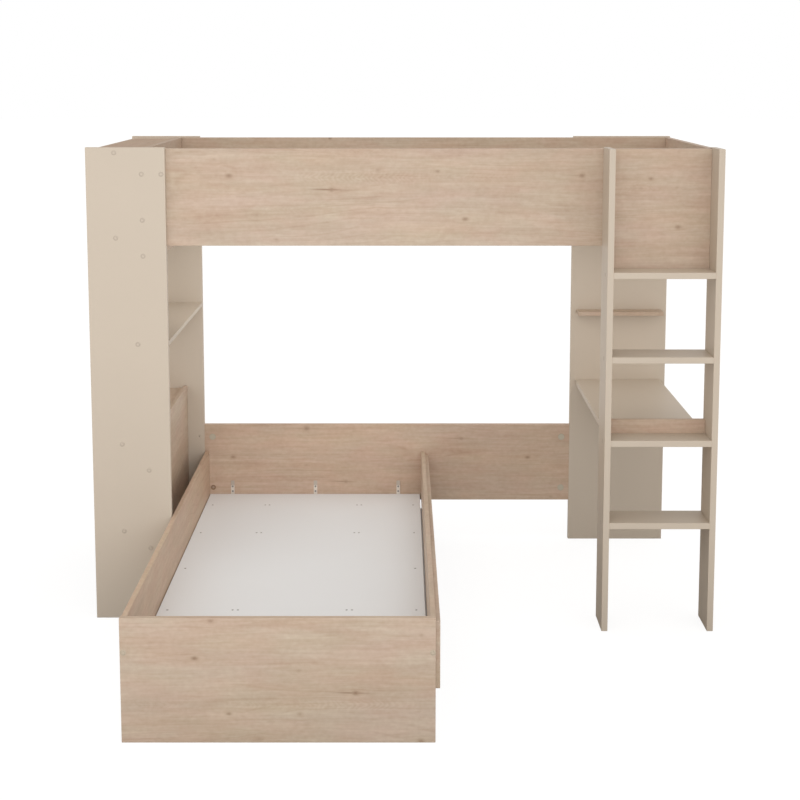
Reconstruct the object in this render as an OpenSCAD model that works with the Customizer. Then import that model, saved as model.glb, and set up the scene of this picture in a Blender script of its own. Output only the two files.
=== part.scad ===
// L-shaped bunk bed: a full-length upper bed carried by a shelf unit on the left and by a
// ladder and a desk panel on the right, with a second bed at floor level turned towards the
// front. Everything is cut from flat board and joined with screws, dowels and cam fittings.
// Millimetres. Origin: centre of the footprint at floor level. +X right, +Y back, +Z up.

/* [Overall size] */
// Width over everything, left edge of the shelf unit to the right stile
overall_width = 2242; // [2200:1:2400]
// Depth over everything, face of the low front board to the rear of the back panels
overall_depth = 2059; // [2050:1:2160]
// Height of the upright panels and of the ladder stiles
panel_height = 1730; // [1700:1:1850]
// Depth of the upper bed, front of the left front panel to the rear of the back panels
upper_depth = 992; // [960:1:1100]

/* [Boards] */
// Thickness of upright panels, stiles, steps, desktop and bed side boards
panel_thick = 22; // [20:0.5:25]
// Thickness of shelves, rails, guard boards, supports and bed bases
shelf_thick = 16; // [15:0.5:19]
// Thickness of the board on the outside of the right rail
side_board_thick = 14; // [9:0.5:16]
// Width of the small bevel on every board edge
edge_bevel = 1; // [0.5:0.1:1.5]

/* [Upper bed] */
// Distance of the bed boards' top edges below the tops of the panels
board_drop = 5; // [0:1:15]
// Height of the long front and back boards
long_board_height = 348; // [320:1:380]
// Height of the two end boards
end_board_height = 425; // [400:1:440]
// Distance from the bottom edge of the front board up to the support battens
batten_rise = 20; // [5:1:60]
// Height of the battens and of the cross beams between them
batten_height = 40; // [30:1:50]
// Width of the battens and thickness of the cross beams
batten_width = 22; // [20:0.5:30]
// Gap between the bed base and the boards round it
upper_base_gap = 2; // [1:0.5:4]
// Distance from the boards' top edges down to the first row of end screws
end_screw_drop = 90; // [75:1:100]
// Distance from the first row of end screws to the second
end_screw_pitch = 164; // [140:1:180]
// Distance from the boards' top edges down to the lowest end screws
end_screw_lowest = 383; // [365:1:392]
// Distance from the boards' top edges down to the first corner screws
corner_screw_drop = 50; // [30:1:65]
// Distance between the two corner screws of a joint
corner_screw_pitch = 165; // [145:1:180]
// Height of the lower screw into the left stile above the bed base
stile_screw_rise = 40; // [25:1:80]

/* [Shelf unit] */
// Width of the shelf unit and of its two uprights
unit_width = 282; // [270:1:300]
// Distance from the unit's left edge to the outer face of the left end board
end_board_inset = 187.5; // [175:0.5:200]
// Distance of the unit's top board below the tops of the panels
unit_top_drop = 11; // [5:1:20]
// Height of the top face of the upper compartment's floor
upper_shelf_top = 1415; // [1380:1:1440]
// Height of the top face of the bedside shelf
bedside_shelf_top = 1030; // [900:1:1150]
// Depth of the bedside shelf, measured along X from the bed side
bedside_shelf_depth = 218; // [180:1:250]
// Height of the top face of the lower compartment's lid
cupboard_top = 662; // [600:1:750]
// Rise of the lower compartment's side board above that lid
cupboard_rise = 10; // [0:1:20]
// Distance from the unit's left edge to the middle of the lower compartment's side board
cupboard_side_inset = 204; // [200:0.5:220]
// Height of the top face of the lower shelf
lower_shelf_top = 337; // [300:1:450]
// Distance from the unit's left edge to the screws of its upper shelves
upper_shelf_screw_inset = 102; // [40:1:120]
// Distance from the unit's left edge to the screws of its lower shelves
lower_shelf_screw_inset = 108; // [40:1:120]
// Distance of the side board's upper screw below its top edge
cupboard_screw_drop = 115; // [60:1:150]
// Distance of the side board's lower screw above its bottom edge
cupboard_screw_rise = 92; // [40:1:120]
// Distance of the lid's dowels from the front and back panels
lid_dowel_inset = 200; // [60:1:400]
// Distance of the short screws from the unit's right edge
face_screw_inset = 14; // [10:0.5:30]

/* [Ladder] */
// Width over both stiles
ladder_width = 401; // [380:1:480]
// Depth of a stile, front edge to rear edge
stile_depth = 161; // [140:1:200]
// Height of the lowest step's top face
first_step_top = 400; // [380:1:410]
// Rise from one step to the next
step_pitch = 300; // [280:1:302]
// Distance from the stiles' rear edges forward to the guard board's front face
guard_setback = 38; // [34:1:50]
// Distance of the step screws below the step's top face
step_screw_drop = 14; // [8:0.5:15]
// Distance of a step's dowels from its screw
step_dowel_offset = 38; // [20:1:50]
// Distance of the guard board's dowels from its top and bottom edges
guard_dowel_inset = 60; // [20:1:72]

/* [Desk] */
// Width of the desk's back panel
desk_panel_width = 402; // [390:1:480]
// Height of the desktop's top face
desk_top = 700; // [690:1:760]
// Height of the front lip board
lip_height = 100; // [80:1:140]
// Rise of the lip above the desktop
lip_rise = 50; // [30:1:60]
// Height of the small wall shelf's top face
wall_shelf_top = 1000; // [900:1:1150]
// Depth of the small wall shelf
wall_shelf_depth = 75; // [60:1:120]
// Width of the small wall shelf
wall_shelf_width = 357; // [300:1:358]
// Distance of the lip's dowels from its top and bottom edges
lip_dowel_inset = 20; // [10:1:32]
// Distance of the desktop's screws from its sides
desktop_screw_inset = 89; // [40:1:150]
// Distance of the wall shelf's screws from its ends
wall_shelf_screw_inset = 52; // [20:1:120]

/* [Lower bed] */
// Width of the low front board, whose left edge lines up with the shelf unit
low_front_width = 941.5; // [925:0.5:1000]
// Height of the low front board
low_front_height = 387; // [380:1:420]
// Height of the rails' top edges
rail_top = 386; // [375:1:400]
// Height of a rail, and of the board outside the right rail
rail_height = 210; // [200:1:220]
// Distance of the outer side board below the rails' top edges
side_board_drop = 15; // [10:1:40]
// Height of the lower base's top face
low_base_top = 199; // [190:1:215]
// Gap between the lower base and the left rail
low_base_gap = 2.5; // [1:0.5:4]
// Gap between the lower base and the right rail
low_base_gap_right = 5.5; // [1:0.5:8]
// Distance of the ledges' screws from the ledges' top and bottom edges
ledge_screw_inset = 46; // [30:1:60]
// Gap between the left rail and the shelf unit
bed_gap = 3; // [2:0.5:10]
// Height of the bottom edge of the low back board
low_back_bottom = 173; // [160:1:180]
// Height of the low back board
low_back_height = 330; // [300:1:360]
// Distance from the low back board to the middle of the rearmost support
first_support = 173; // [150:1:200]
// Distance from the rearmost support to the next one
second_support = 392; // [370:1:420]
// Distance from the low front board to the middle of the foremost support
last_support = 136; // [60:1:200]
// Distance of the outer base screws from the base's side edges
base_screw_edge = 30; // [20:1:60]
// Distance of the inner pairs of base screws from the base's middle
base_screw_inner = 192; // [150:1:250]
// Distance between the two screws of an inner pair
base_pair_pitch = 18; // [14:1:30]
// Distance of the rails' dowels from the middle of the rail
rail_dowel_offset = 70; // [30:1:85]
// Distance of the side board's first and last screw from its ends
side_screw_inset = 80; // [30:1:150]

/* [Fittings] */
// Shank diameter of the connecting screws
screw_d = 7; // [6:0.1:8]
// Head diameter of the connecting screws
screw_head_d = 10; // [9:0.1:12]
// Head height of the connecting screws
screw_head_h = 3; // [2:0.1:4]
// Length of the connecting screws
screw_length = 50; // [45:1:60]
// Diameter of the round plastic screw caps
cap_d = 15; // [12:0.5:18]
// Thickness of the screw caps
cap_h = 1.2; // [0.8:0.1:2]
// Diameter of the wooden dowels
dowel_d = 8; // [6:0.5:10]
// Length of a dowel on each side of the joint
dowel_half = 11; // [8:0.5:12]
// Diameter of the cam fittings
cam_d = 22; // [15:0.5:25]
// Distance from a board's end to the cam's axis
cam_setback = 34; // [30:1:38]
// Height of the lower cams above the low back board's bottom edge
cam_low_rise = 54; // [40:1:90]
// Height of the upper cams above the low back board's bottom edge
cam_high_rise = 276; // [200:1:280]
// Width of the rim by which a cam cover laps over the cam
cam_cover_rim = 2.5; // [1.5:0.5:4]
// Shank diameter of the small wood screws
wood_screw_d = 4; // [3:0.1:4.5]
// Head diameter of the small wood screws
wood_screw_head_d = 8; // [6.5:0.1:9]
// Length of the small wood screws
wood_screw_length = 35; // [30:1:38]
// Width of the steel angle brackets
bracket_width = 15; // [12:0.5:25]
// Height of the brackets' upright leg above the base
bracket_rise = 58; // [52:1:80]
// Depth of the brackets' lower leg
bracket_foot = 26; // [20:1:40]
// Sheet thickness of the brackets
bracket_thick = 2; // [1.5:0.1:2.2]
// Height of a bracket's lower screw above the base
bracket_hole_rise = 12; // [10:1:14]
// Distance of a bracket's upper screw below the bracket's top
bracket_hole_drop = 25; // [14:1:26]
// Distance of the screw in a bracket's foot from the wall
bracket_foot_hole = 16; // [10:0.5:17]
// Distance between neighbouring brackets
bracket_pitch = 355; // [300:1:380]
// Clearance all round between a fitting and its hole, on diameter
bore_play = 0.2; // [0.1:0.05:0.4]

/* [Hidden] */

$fn = 28;

// Small sizes of the bought fittings and of their holes
cut_over = 1;
socket_d = 4.6;
socket_h = 2;
plug_d = 3.9;
plug_h = 1.5;
head_sink = 2;
drive_d = 2.8;
drive_h = 1;
end_play = 0.5;
short_rest = 6;
side_rest = 4;
cam_past_axis = 4.4;
cam_sink = 0.2;
cam_slot_length = 13;
cam_slot_width = 2.2;
cam_slot_depth = 2;
bolt_in_panel = 11;
bolt_tip_gap = 2;
bracket_play = 0.5;
bracket_screw_h = 12;
bracket_head_h = 1.6;
hang_hole_d = 8;
hang_hole_depth = 8;
hang_hole_inset = 21;
hang_hole_rise = 4;

// Directions a fitting can be driven in, as rotations of +Z
to_right = [0, 90, 0];
to_left = [0, -90, 0];
to_back = [-90, 0, 0];
to_front = [90, 0, 0];
to_top = [0, 0, 0];
to_floor = [180, 0, 0];

// Outer limits; the caps on the right side stand proud, so the boards sit that much to the left
x_left = -(overall_width + cap_h) / 2;
x_right = x_left + overall_width;
y_front = -overall_depth / 2;
y_rear = overall_depth / 2;
y_back = y_rear - panel_thick;

// Upper bed, unit and ladder in plan
y_unit = y_rear - upper_depth;
y_inner = y_unit + panel_thick;
y_stile = y_inner - stile_depth;
y_guard = y_inner - guard_setback;
y_guard_rear = y_guard + shelf_thick;
x_unit = x_left + unit_width;
x_end_l = x_left + end_board_inset;
x_end_l_in = x_end_l + panel_thick;
x_end_r_in = x_right - panel_thick;
x_stile = x_right - ladder_width;
x_stile_in = x_stile + panel_thick;
x_desk = x_right - desk_panel_width;
x_cupboard = x_left + cupboard_side_inset;
x_bedside = x_unit - bedside_shelf_depth;

// Upper bed in height
z_boards = panel_height - board_drop;
z_long = z_boards - long_board_height;
z_end = z_boards - end_board_height;
z_batten = z_long + batten_rise;
z_upper_base = z_batten + batten_height;
y_batten = y_inner + panel_thick;
y_long_back = y_back - panel_thick;
x_middle = (x_end_l_in + x_end_r_in) / 2;
beam_pitch = (x_end_r_in - x_end_l_in) / 4;

// Shelves of the unit, underside heights
z_unit_top = panel_height - unit_top_drop - shelf_thick;
z_upper_shelf = upper_shelf_top - shelf_thick;
z_bedside = bedside_shelf_top - shelf_thick;
z_cupboard = cupboard_top - shelf_thick;
z_side_top = cupboard_top + cupboard_rise;
z_lower_shelf = lower_shelf_top - shelf_thick;

// Steps, lowest first; every second one reaches the stiles' rear edges
step_tops = [for (i = [0:3]) first_step_top + i * step_pitch];
step_ends = [y_inner, y_guard, y_inner, y_guard];
z_guard = step_tops[3] - panel_thick;
y_step_screw = (y_stile + y_guard) / 2;
z_desk = desk_top - panel_thick;
z_lip = desk_top + lip_rise - lip_height;
x_wall_shelf = (x_desk + x_right - wall_shelf_width) / 2;

// Lower bed
x_bed_l = x_unit + bed_gap;
x_bed_r = x_unit + low_front_width;
x_bed_mid = (x_bed_l + x_bed_r) / 2;
x_rail_l = x_bed_l + shelf_thick;
x_rail_r = x_bed_r - shelf_thick;
y_bed = y_front + panel_thick;
z_rail = rail_top - rail_height;
z_rail_mid = rail_top - rail_height / 2;
z_low_base = low_base_top - shelf_thick;
x_base_l = x_rail_l + low_base_gap;
x_base_r = x_rail_r - low_base_gap_right;
x_ledge_l = x_rail_l + shelf_thick;
x_ledge_r = x_rail_r - shelf_thick;
base_end_gap = bracket_thick + bracket_play;
support_pitch = (y_back - y_bed - first_support - second_support - last_support) / 3;
supports = [first_support, for (i = [0:3]) first_support + second_support + i * support_pitch];
middle_support = floor(len(supports) / 2);
base_edge_x = [x_base_l + base_screw_edge, x_base_r - base_screw_edge];
base_pair_x = [for (side = [-1, 1]) for (i = [-1, 1])
  x_bed_mid + side * base_screw_inner + i * base_pair_pitch / 2];
bracket_x = [for (i = [-1:1]) x_bed_mid + i * bracket_pitch];

// Fitting heights
end_screw_z = [z_boards - end_screw_drop, z_boards - end_screw_drop - end_screw_pitch,
  z_boards - end_screw_lowest];
corner_screw_z = [z_boards - corner_screw_drop,
  z_boards - corner_screw_drop - corner_screw_pitch];
stile_screw_z = [end_screw_z[0], z_upper_base + shelf_thick + stile_screw_rise];
cam_z = [low_back_bottom + cam_low_rise, low_back_bottom + cam_high_rise];
bracket_hole_z = [low_base_top + bracket_hole_rise,
  low_base_top + bracket_rise - bracket_hole_drop];

// Lengths of the screws that end inside the second board
short_length = 2 * panel_thick - short_rest;
side_screw_length = side_board_thick + shelf_thick - side_rest;
cam_axis = panel_thick / 2;
cam_h = cam_axis + cam_past_axis;

// Where the connecting screws go into the unit, seen from the front: [x, z]
unit_screws = [
  [x_left + upper_shelf_screw_inset, z_unit_top + shelf_thick / 2],
  [x_left + upper_shelf_screw_inset, z_upper_shelf + shelf_thick / 2],
  [x_unit - bedside_shelf_depth / 2, z_bedside + shelf_thick / 2],
  [x_left + lower_shelf_screw_inset, z_cupboard + shelf_thick / 2],
  [x_left + lower_shelf_screw_inset, z_lower_shelf + shelf_thick / 2],
  [x_cupboard, z_side_top - cupboard_screw_drop],
  [x_cupboard, low_back_bottom + cupboard_screw_rise],
  for (z = end_screw_z) [x_end_l + panel_thick / 2, z]];
face_screw = [x_unit - face_screw_inset, end_screw_z[0]];

// Every connecting screw: [point on the outer face, direction]
end_depths = [y_inner + panel_thick / 2, y_back - panel_thick / 2];
corner_spots = [for (z = corner_screw_z) for (y = end_depths) each [
  [[x_end_l, y, z], to_right], [[x_right, y, z], to_left]]];
unit_front_spots = [for (s = unit_screws) [[s[0], y_unit, s[1]], to_back]];
unit_rear_spots = [for (s = unit_screws) [[s[0], y_rear, s[1]], to_front]];
desk_end_spots = [for (z = end_screw_z)
  [[x_end_r_in + panel_thick / 2, y_rear, z], to_front]];
desktop_spots = [for (x = [x_stile_in + desktop_screw_inset, x_end_r_in - desktop_screw_inset])
  [[x, y_rear, z_desk + panel_thick / 2], to_front]];
wall_shelf_spots = [for (x = [x_wall_shelf + wall_shelf_screw_inset,
  x_wall_shelf + wall_shelf_width - wall_shelf_screw_inset])
  [[x, y_rear, wall_shelf_top - shelf_thick / 2], to_front]];
step_spots = [for (z = step_tops) each [
  [[x_stile, y_step_screw, z - step_screw_drop], to_right],
  [[x_right, y_step_screw, z - step_screw_drop], to_left]]];
stile_spots = [for (z = stile_screw_z)
  [[x_stile + panel_thick / 2, y_batten, z], to_front]];
rail_x = [x_bed_l + shelf_thick / 2, x_bed_r - shelf_thick / 2];
rail_front_spots = [for (x = rail_x) [[x, y_front, z_rail_mid], to_back]];
rail_rear_spots = [for (x = rail_x) [[x, y_rear, z_rail_mid], to_front]];
face_spots = [[[face_screw[0], y_unit, face_screw[1]], to_back],
  [[face_screw[0], y_rear, face_screw[1]], to_front]];

// Every dowel: [point in the joint, axis direction]
stile_faces = [x_stile_in, x_end_r_in];
step_dowel_y = [y_step_screw - step_dowel_offset, y_step_screw + step_dowel_offset];
step_dowels = [for (z = step_tops) for (x = stile_faces) for (y = step_dowel_y)
  [[x, y, z - panel_thick / 2], to_right]];
guard_dowels = [for (z = [z_guard + guard_dowel_inset, z_boards - guard_dowel_inset])
  for (x = stile_faces) [[x, y_guard + shelf_thick / 2, z], to_right]];
lip_dowels = [for (z = [z_lip + lip_dowel_inset, z_lip + lip_height - lip_dowel_inset])
  for (x = stile_faces) [[x, y_guard + shelf_thick / 2, z], to_right]];
lid_dowels = [for (y = [y_inner + lid_dowel_inset, y_back - lid_dowel_inset])
  [[x_cupboard - shelf_thick / 2, y, z_cupboard + shelf_thick / 2], to_right]];
stile_end_dowels = [for (z = end_screw_z)
  [[x_end_r_in + panel_thick / 2, y_inner, z], to_back]];
beam_x = [for (i = [1:3]) x_end_l_in + i * beam_pitch];
beam_dowels = [for (x = beam_x) for (y = [y_batten + batten_width, y_long_back - batten_width])
  [[x, y, z_batten + batten_height / 2], to_back]];
rail_dowel_z = [z_rail_mid - rail_dowel_offset, z_rail_mid + rail_dowel_offset];
rail_dowels = [for (z = rail_dowel_z) for (x = rail_x) each [
  [[x, y_bed, z], to_back], [[x, y_back, z], to_back]]];

// Small wood screws: [point on the face, direction]; the middle support has no inner pairs
low_base_spots = [for (i = [0:len(supports) - 1])
  for (x = i == middle_support ? base_edge_x : concat(base_edge_x, base_pair_x))
  [[x, y_back - supports[i], low_base_top], to_floor]];
ledge_spots = [for (s = supports) for (z = [ledge_screw_inset, z_low_base - ledge_screw_inset])
  each [[[x_rail_l, y_back - s, z], to_right], [[x_rail_r, y_back - s, z], to_left]]];
batten_spots = [for (i = [0:3]) let (x = x_end_l_in + (i + 1 / 4) * beam_pitch) each [
  [[x, y_batten + batten_width, z_batten + batten_height / 2], to_front],
  [[x, y_long_back - batten_width, z_batten + batten_height / 2], to_back]]];
upper_base_spots = [for (i = [0:3])
  for (y = [y_batten + batten_width / 2, y_long_back - batten_width / 2])
  [[x_end_l_in + (i + 1 / 2) * beam_pitch, y, z_upper_base + shelf_thick], to_floor]];
side_screw_pitch = (y_back - y_bed - 2 * side_screw_inset) / 4;
side_spots = [for (i = [0:4]) [[x_bed_r + side_board_thick,
  y_bed + side_screw_inset + i * side_screw_pitch, z_rail_mid - side_board_drop / 2], to_left]];

// Walls that carry the base's angle brackets: [plane, direction of the lower leg]
bracket_walls = [[y_bed, 1], [y_back, -1]];

// Cam joints at both ends of the low back board: [x of the joint, direction of the bolt]
cam_joints = [[x_unit, 1], [x_desk, -1]];

// Cams with a cover, as [joint, height]; the left lower one is open
covered_cams = [[cam_joints[0], cam_z[1]], for (z = cam_z) [cam_joints[1], z]];
cam_cover_d = cam_d + 2 * cam_cover_rim;

module board(x, y, z) {
  b = edge_bevel;
  hull() {
    box([x[0], x[1]], [y[0] + b, y[1] - b], [z[0] + b, z[1] - b]);
    box([x[0] + b, x[1] - b], [y[0], y[1]], [z[0] + b, z[1] - b]);
    box([x[0] + b, x[1] - b], [y[0] + b, y[1] - b], [z[0], z[1]]);
  }
}

module box(x, y, z) {
  translate([x[0], y[0], z[0]]) cube([x[1] - x[0], y[1] - y[0], z[1] - z[0]]);
}

module rod(at, aim, d, h) {
  translate(at) rotate(aim) cylinder(d = d, h = h);
}

// Connecting screw: flat head flush with the face, hexagon socket, straight shank
module connecting_screw(at, aim, length) {
  translate(at) rotate(aim) difference() {
    union() {
      cylinder(d = screw_head_d, h = screw_head_h);
      cylinder(d = screw_d, h = length);
    }
    translate([0, 0, -cut_over]) cylinder(d = socket_d, h = socket_h + cut_over, $fn = 6);
  }
}

module screw_bore(spots, length) {
  for (s = spots) translate(s[0]) rotate(s[1]) {
    translate([0, 0, -cut_over])
      cylinder(d = screw_head_d + bore_play, h = screw_head_h + cut_over);
    cylinder(d = screw_d + bore_play, h = length + end_play);
  }
}

module screw_cap(at, aim) {
  translate(at) rotate(aim) {
    translate([0, 0, -cap_h]) cylinder(d1 = cap_d - cap_h, d2 = cap_d, h = cap_h);
    cylinder(d = plug_d, h = plug_h);
  }
}

module dowel_bore(spots) {
  for (s = spots) translate(s[0]) rotate(s[1])
    cylinder(d = dowel_d + bore_play, h = 2 * (dowel_half + end_play), center = true);
}

module wood_screw(at, aim, length) {
  translate(at) rotate(aim) difference() {
    union() {
      cylinder(d = wood_screw_head_d, h = head_sink);
      cylinder(d = wood_screw_d, h = length);
    }
    translate([0, 0, -cut_over]) cylinder(d = drive_d, h = drive_h + cut_over, $fn = 6);
  }
}

module wood_screw_bore(spots, length) {
  for (s = spots) translate(s[0]) rotate(s[1]) {
    translate([0, 0, -cut_over])
      cylinder(d = wood_screw_head_d + bore_play, h = head_sink + cut_over);
    cylinder(d = wood_screw_d + bore_play, h = length + end_play);
  }
}

module beige() { color([0.80, 0.74, 0.67]) children(); }
module wood() { color([0.78, 0.69, 0.60]) children(); }
module white() { color([0.90, 0.89, 0.87]) children(); }
module zinc() { color([0.66, 0.67, 0.68]) children(); }

// ---- Shelf unit ----

module left_front_panel() {
  beige() difference() {
    board([x_left, x_unit], [y_unit, y_inner], [0, panel_height]);
    screw_bore(unit_front_spots, screw_length);
    screw_bore([face_spots[0]], short_length);
  }
}

module left_back_panel() {
  beige() difference() {
    board([x_left, x_unit], [y_back, y_rear], [0, panel_height]);
    screw_bore(unit_rear_spots, screw_length);
    screw_bore([face_spots[1]], short_length);
    bolt_bore(cam_joints[0]);
    rod([x_unit - hang_hole_inset, y_back - cut_over, cam_z[1] + hang_hole_rise], to_back,
      hang_hole_d, hang_hole_depth + cut_over);
  }
}

// A shelf between the unit's uprights, from x0 to x1 with its underside at z0
module unit_shelf(x0, x1, z0) {
  difference() {
    board([x0, x1], [y_inner, y_back], [z0, z0 + shelf_thick]);
    screw_bore(concat(unit_front_spots, unit_rear_spots), screw_length);
  }
}

module unit_top_board() { wood() unit_shelf(x_left, x_end_l, z_unit_top); }

module unit_upper_shelf() { beige() unit_shelf(x_left, x_end_l, z_upper_shelf); }

module unit_bedside_shelf() { beige() unit_shelf(x_bedside, x_unit, z_bedside); }

module unit_cupboard_top() {
  wood() difference() {
    unit_shelf(x_left, x_cupboard - shelf_thick / 2, z_cupboard);
    dowel_bore(lid_dowels);
  }
}

module unit_lower_shelf() {
  beige() unit_shelf(x_left, x_cupboard - shelf_thick / 2, z_lower_shelf);
}

module unit_cupboard_side() {
  wood() difference() {
    board([x_cupboard - shelf_thick / 2, x_cupboard + shelf_thick / 2], [y_inner, y_back],
      [low_back_bottom, z_side_top]);
    screw_bore(concat(unit_front_spots, unit_rear_spots), screw_length);
    dowel_bore(lid_dowels);
  }
}

// ---- Upper bed ----

module upper_front_board() {
  wood() difference() {
    board([x_end_l_in, x_end_r_in], [y_inner, y_batten], [z_long, z_boards]);
    screw_bore(concat(corner_spots, stile_spots), screw_length);
    screw_bore([face_spots[0]], short_length);
    wood_screw_bore(batten_spots, wood_screw_length);
  }
}

module upper_back_board() {
  wood() difference() {
    board([x_end_l_in, x_end_r_in], [y_long_back, y_back], [z_long, z_boards]);
    screw_bore(corner_spots, screw_length);
    screw_bore([face_spots[1]], short_length);
    wood_screw_bore(batten_spots, wood_screw_length);
  }
}

module upper_end_left() {
  wood() difference() {
    board([x_end_l, x_end_l_in], [y_inner, y_back], [z_end, z_boards]);
    screw_bore(concat(corner_spots, unit_front_spots, unit_rear_spots), screw_length);
  }
}

module upper_end_right() {
  wood() difference() {
    board([x_end_r_in, x_right], [y_inner, y_back], [z_end, z_boards]);
    screw_bore(concat(corner_spots, desk_end_spots), screw_length);
    dowel_bore(stile_end_dowels);
  }
}

module upper_batten(y0) {
  difference() {
    board([x_end_l_in + upper_base_gap, x_end_r_in - upper_base_gap],
      [y0, y0 + batten_width], [z_batten, z_upper_base]);
    wood_screw_bore(concat(batten_spots, upper_base_spots), wood_screw_length);
    dowel_bore(beam_dowels);
  }
}

module upper_batten_front() { wood() upper_batten(y_batten); }

module upper_batten_back() { wood() upper_batten(y_long_back - batten_width); }

module upper_beam(i) {
  wood() difference() {
    board([beam_x[i] - batten_width / 2, beam_x[i] + batten_width / 2],
      [y_batten + batten_width, y_long_back - batten_width], [z_batten, z_upper_base]);
    dowel_bore(beam_dowels);
  }
}

module upper_base(x0, x1) {
  white() difference() {
    board([x0, x1], [y_batten + upper_base_gap, y_long_back - upper_base_gap],
      [z_upper_base, z_upper_base + shelf_thick]);
    wood_screw_bore(upper_base_spots, wood_screw_length);
  }
}

module upper_base_left() { upper_base(x_end_l_in + upper_base_gap, x_middle); }

module upper_base_right() { upper_base(x_middle, x_end_r_in - upper_base_gap); }

// ---- Ladder ----

module ladder_stile(x0) {
  beige() difference() {
    board([x0, x0 + panel_thick], [y_stile, y_inner], [0, panel_height]);
    screw_bore(concat(step_spots, stile_spots), screw_length);
    dowel_bore(concat(step_dowels, guard_dowels, lip_dowels, stile_end_dowels));
  }
}

module ladder_stile_left() { ladder_stile(x_stile); }

module ladder_stile_right() { ladder_stile(x_end_r_in); }

module ladder_guard_board() {
  wood() difference() {
    board([x_stile_in, x_end_r_in], [y_guard, y_guard_rear], [z_guard, z_boards]);
    dowel_bore(guard_dowels);
  }
}

module ladder_step(i) {
  beige() difference() {
    board([x_stile_in, x_end_r_in], [y_stile, step_ends[i]],
      [step_tops[i] - panel_thick, step_tops[i]]);
    screw_bore(step_spots, screw_length);
    dowel_bore(step_dowels);
  }
}

// ---- Desk ----

module desk_back_panel() {
  beige() difference() {
    board([x_desk, x_right], [y_back, y_rear], [0, panel_height]);
    screw_bore(concat(desk_end_spots, desktop_spots, wall_shelf_spots), screw_length);
    bolt_bore(cam_joints[1]);
  }
}

module desktop() {
  beige() difference() {
    board([x_stile_in, x_end_r_in], [y_guard_rear, y_back], [z_desk, desk_top]);
    screw_bore(desktop_spots, screw_length);
  }
}

module desk_lip() {
  wood() difference() {
    board([x_stile_in, x_end_r_in], [y_guard, y_guard_rear], [z_lip, z_lip + lip_height]);
    dowel_bore(lip_dowels);
  }
}

module desk_wall_shelf() {
  wood() difference() {
    board([x_wall_shelf, x_wall_shelf + wall_shelf_width], [y_back - wall_shelf_depth, y_back],
      [wall_shelf_top - shelf_thick, wall_shelf_top]);
    screw_bore(wall_shelf_spots, screw_length);
  }
}

// ---- Lower bed ----

module low_front_board() {
  wood() difference() {
    board([x_unit, x_bed_r], [y_front, y_bed], [0, low_front_height]);
    screw_bore(rail_front_spots, screw_length);
    dowel_bore(rail_dowels);
    bracket_screw_bores();
  }
}

module low_back_board() {
  wood() difference() {
    board([x_unit, x_desk], [y_back, y_rear], [low_back_bottom, low_back_bottom + low_back_height]);
    screw_bore(rail_rear_spots, screw_length);
    dowel_bore(rail_dowels);
    for (j = cam_joints) {
      bolt_bore(j);
      for (z = cam_z) rod([j[0] + j[1] * cam_setback, y_back - cut_over, z], to_back,
        cam_d + bore_play, cam_h + cam_sink + cut_over);
    }
    bracket_screw_bores();
  }
}

module low_rail(x0) {
  wood() difference() {
    board([x0, x0 + shelf_thick], [y_bed, y_back], [z_rail, rail_top]);
    screw_bore(concat(rail_front_spots, rail_rear_spots), screw_length);
    dowel_bore(rail_dowels);
    wood_screw_bore(side_spots, side_screw_length);
  }
}

module low_rail_left() { low_rail(x_bed_l); }

module low_rail_right() { low_rail(x_rail_r); }

module low_side_board() {
  wood() difference() {
    board([x_bed_r, x_bed_r + side_board_thick], [y_bed, y_back],
      [z_rail - side_board_drop, rail_top - side_board_drop]);
    wood_screw_bore(side_spots, side_screw_length);
  }
}

module low_base() {
  white() difference() {
    board([x_base_l, x_base_r], [y_bed + base_end_gap, y_back - base_end_gap],
      [z_low_base, low_base_top]);
    wood_screw_bore(low_base_spots, wood_screw_length);
    bracket_screw_bores();
  }
}

// Board on edge under one side of the base, as long as the row of supports
module low_ledge(x0) {
  white() difference() {
    board([x0, x0 + shelf_thick], [y_bed, y_back - supports[0] + shelf_thick / 2],
      [0, z_low_base]);
    wood_screw_bore(ledge_spots, wood_screw_length);
  }
}

module low_ledge_left() { low_ledge(x_rail_l); }

module low_ledge_right() { low_ledge(x_ledge_r); }

module low_support(i) {
  white() difference() {
    board([x_ledge_l, x_ledge_r],
      [y_back - supports[i] - shelf_thick / 2, y_back - supports[i] + shelf_thick / 2],
      [0, z_low_base]);
    wood_screw_bore(concat(low_base_spots, ledge_spots), wood_screw_length);
  }
}

// ---- Fittings ----

module connecting_screws() {
  zinc() for (s = concat(corner_spots, unit_front_spots, unit_rear_spots, desk_end_spots,
    desktop_spots, wall_shelf_spots, step_spots, stile_spots, rail_front_spots,
    rail_rear_spots)) connecting_screw(s[0], s[1], screw_length);
}

module short_screws() {
  zinc() for (s = face_spots) connecting_screw(s[0], s[1], short_length);
}

module screw_caps_beige() {
  beige() for (s = concat(unit_front_spots, unit_rear_spots, desk_end_spots, desktop_spots,
    wall_shelf_spots, step_spots, face_spots)) screw_cap(s[0], s[1]);
}

module screw_caps_wood() {
  wood() for (s = concat(corner_spots, stile_spots, rail_front_spots, rail_rear_spots))
    screw_cap(s[0], s[1]);
}

module wood_dowels() {
  wood() for (s = concat(lid_dowels, step_dowels, guard_dowels, lip_dowels, stile_end_dowels,
    beam_dowels, rail_dowels)) translate(s[0]) rotate(s[1])
    cylinder(d = dowel_d, h = 2 * dowel_half, center = true);
}

// The bolt runs from inside the upright panel's edge into the cam
module bolt_bore(joint) {
  for (z = cam_z) translate([joint[0], y_rear - cam_axis, z]) rotate([0, joint[1] * 90, 0])
    translate([0, 0, -bolt_in_panel - end_play])
      cylinder(d = screw_d + bore_play, h = bolt_in_panel + cam_setback + end_play);
}

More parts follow.
